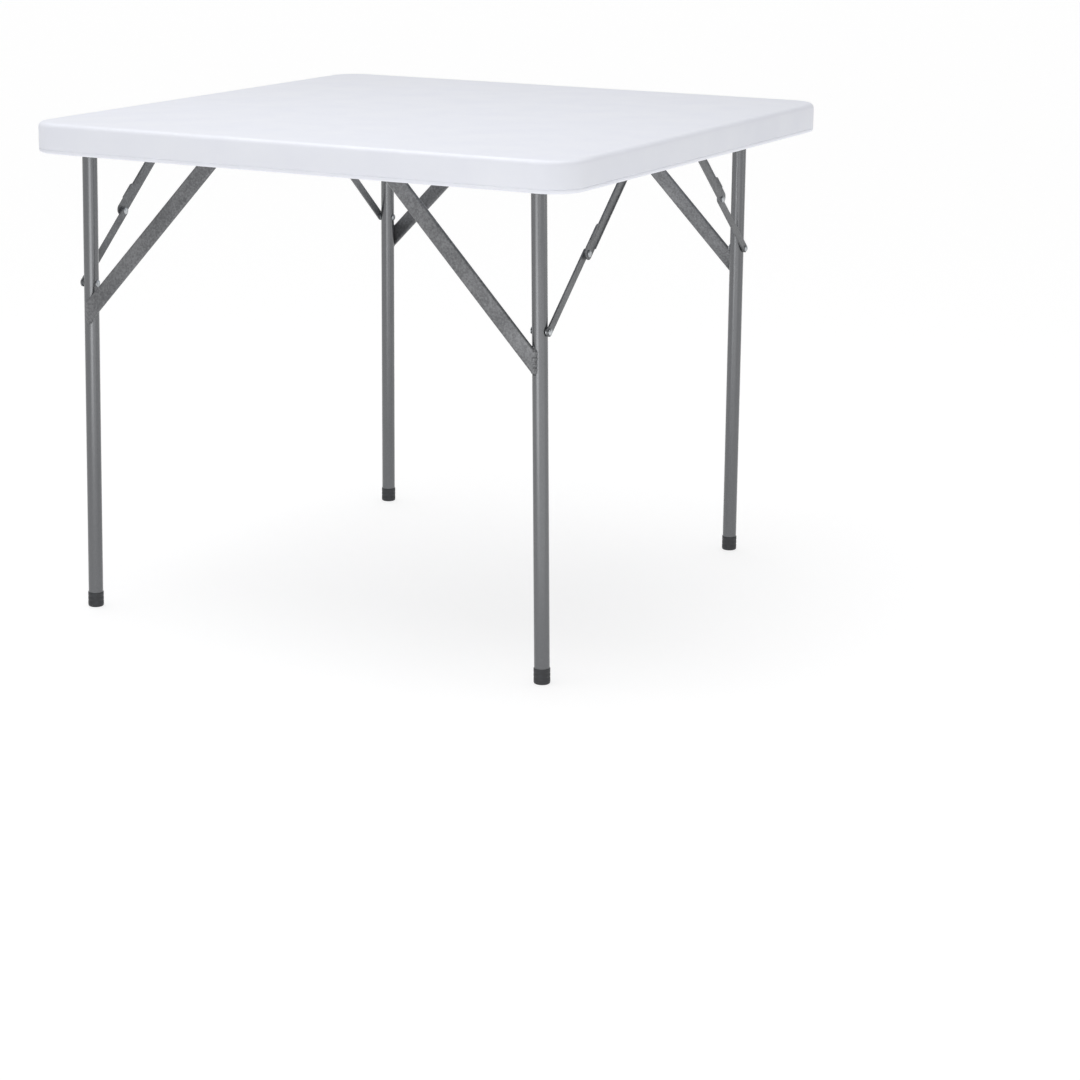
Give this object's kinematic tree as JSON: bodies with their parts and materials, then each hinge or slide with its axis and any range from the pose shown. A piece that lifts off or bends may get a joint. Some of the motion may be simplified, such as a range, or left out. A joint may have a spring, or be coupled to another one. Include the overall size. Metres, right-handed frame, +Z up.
{
  "type": "folding card table",
  "caption": "Square folding table: white moulded top with rounded corners, grey steel tube legs with braces and folding stays that lie flat under the top.",
  "frame": {"origin": "on the floor under the middle of the top", "axes": "+Z up; +X along the leg frames' cross tubes; -Y towards the wide front frame"},
  "size_m": [0.89, 0.89, 0.74],
  "materials": {
    "moulded_top": "fine-grained matt white HDPE",
    "frame_steel": "grey powder coat, satin",
    "stay_steel": "dark grey powder coat, satin",
    "zinc_fasteners": "bright zinc",
    "foot_plastic": "matt dark grey polyethylene",
    "bush_plastic": "matt black nylon"
  },
  "bodies": {
    "top_assembly": {"table_top": "moulded_top", "side_rail_left": "frame_steel", "side_rail_right": "frame_steel", "rail_screws": "zinc_fasteners", "axle_bushes": "bush_plastic", "stay_bracket_left": "stay_steel", "stay_bracket_right": "stay_steel", "bracket_rivets": "zinc_fasteners", "stay_pivot_rivets": "zinc_fasteners"},
    "front_frame": {"front_cross_tube": "frame_steel", "front_axle_pins": "frame_steel", "front_leg_rivets": "zinc_fasteners", "front_leg_left": "frame_steel", "front_foot_left": "foot_plastic", "front_brace_left": "frame_steel", "front_leg_right": "frame_steel", "front_foot_right": "foot_plastic", "front_brace_right": "frame_steel"},
    "back_frame": {"back_cross_tube": "frame_steel", "back_axle_pins": "frame_steel", "back_leg_rivets": "zinc_fasteners", "back_leg_left": "frame_steel", "back_foot_left": "foot_plastic", "back_brace_left": "frame_steel", "back_leg_right": "frame_steel", "back_foot_right": "foot_plastic", "back_brace_right": "frame_steel"},
    "front_upper_stay_left": {"front_upper_link_left": "stay_steel", "front_knee_head_left": "zinc_fasteners"},
    "front_lower_stay_left": {"front_lower_link_left": "stay_steel", "front_knee_tail_left": "zinc_fasteners"},
    "front_upper_stay_right": {"front_upper_link_right": "stay_steel", "front_knee_head_right": "zinc_fasteners"},
    "front_lower_stay_right": {"front_lower_link_right": "stay_steel", "front_knee_tail_right": "zinc_fasteners"},
    "back_upper_stay_left": {"back_upper_link_left": "stay_steel", "back_knee_head_left": "zinc_fasteners"},
    "back_lower_stay_left": {"back_lower_link_left": "stay_steel", "back_knee_tail_left": "zinc_fasteners"},
    "back_upper_stay_right": {"back_upper_link_right": "stay_steel", "back_knee_head_right": "zinc_fasteners"},
    "back_lower_stay_right": {"back_lower_link_right": "stay_steel", "back_knee_tail_right": "zinc_fasteners"}
  },
  "joints": [
    {"name": "front_fold", "type": "hinge", "parent": "top_assembly", "child": "front_frame", "pos_m": [0, -0.388, 0.7055], "axis": [1, 0, 0], "range_deg": [0, 90]},
    {"name": "front_upper_stay_left_turn", "type": "hinge", "parent": "top_assembly", "child": "front_upper_stay_left", "pos_m": [-0.39472, -0.152, 0.7055], "axis": [1, 0, 0], "range_deg": [-41.62, 0.5]},
    {"name": "front_lower_stay_left_turn", "type": "hinge", "parent": "front_frame", "child": "front_lower_stay_left", "pos_m": [-0.38977, -0.388, 0.4995], "axis": [1, 0, 0], "range_deg": [-0.5, 49.38]},
    {"name": "front_upper_stay_right_turn", "type": "hinge", "parent": "top_assembly", "child": "front_upper_stay_right", "pos_m": [0.39472, -0.152, 0.7055], "axis": [1, 0, 0], "range_deg": [-41.62, 0.5]},
    {"name": "front_lower_stay_right_turn", "type": "hinge", "parent": "front_frame", "child": "front_lower_stay_right", "pos_m": [0.38977, -0.388, 0.4995], "axis": [1, 0, 0], "range_deg": [-0.5, 49.38]},
    {"name": "back_fold", "type": "hinge", "parent": "top_assembly", "child": "back_frame", "pos_m": [0, 0.388, 0.709], "axis": [-1, 0, 0], "range_deg": [0, 90]},
    {"name": "back_upper_stay_left_turn", "type": "hinge", "parent": "top_assembly", "child": "back_upper_stay_left", "pos_m": [-0.34612, 0.152, 0.709], "axis": [-1, 0, 0], "range_deg": [-41.62, 0.5]},
    {"name": "back_lower_stay_left_turn", "type": "hinge", "parent": "back_frame", "child": "back_lower_stay_left", "pos_m": [-0.34117, 0.388, 0.503], "axis": [-1, 0, 0], "range_deg": [-0.5, 49.38]},
    {"name": "back_upper_stay_right_turn", "type": "hinge", "parent": "top_assembly", "child": "back_upper_stay_right", "pos_m": [0.34612, 0.152, 0.709], "axis": [-1, 0, 0], "range_deg": [-41.62, 0.5]},
    {"name": "back_lower_stay_right_turn", "type": "hinge", "parent": "back_frame", "child": "back_lower_stay_right", "pos_m": [0.34117, 0.388, 0.503], "axis": [-1, 0, 0], "range_deg": [-0.5, 49.38]}
  ],
  "couplings": [
    {"joint": "front_upper_stay_left_turn", "follows": "front_fold", "ratio": -0.45686},
    {"joint": "front_lower_stay_left_turn", "follows": "front_fold", "ratio": 0.54314},
    {"joint": "front_upper_stay_right_turn", "follows": "front_fold", "ratio": -0.45686},
    {"joint": "front_lower_stay_right_turn", "follows": "front_fold", "ratio": 0.54314},
    {"joint": "back_upper_stay_left_turn", "follows": "back_fold", "ratio": -0.45686},
    {"joint": "back_lower_stay_left_turn", "follows": "back_fold", "ratio": 0.54314},
    {"joint": "back_upper_stay_right_turn", "follows": "back_fold", "ratio": -0.45686},
    {"joint": "back_lower_stay_right_turn", "follows": "back_fold", "ratio": 0.54314}
  ]
}
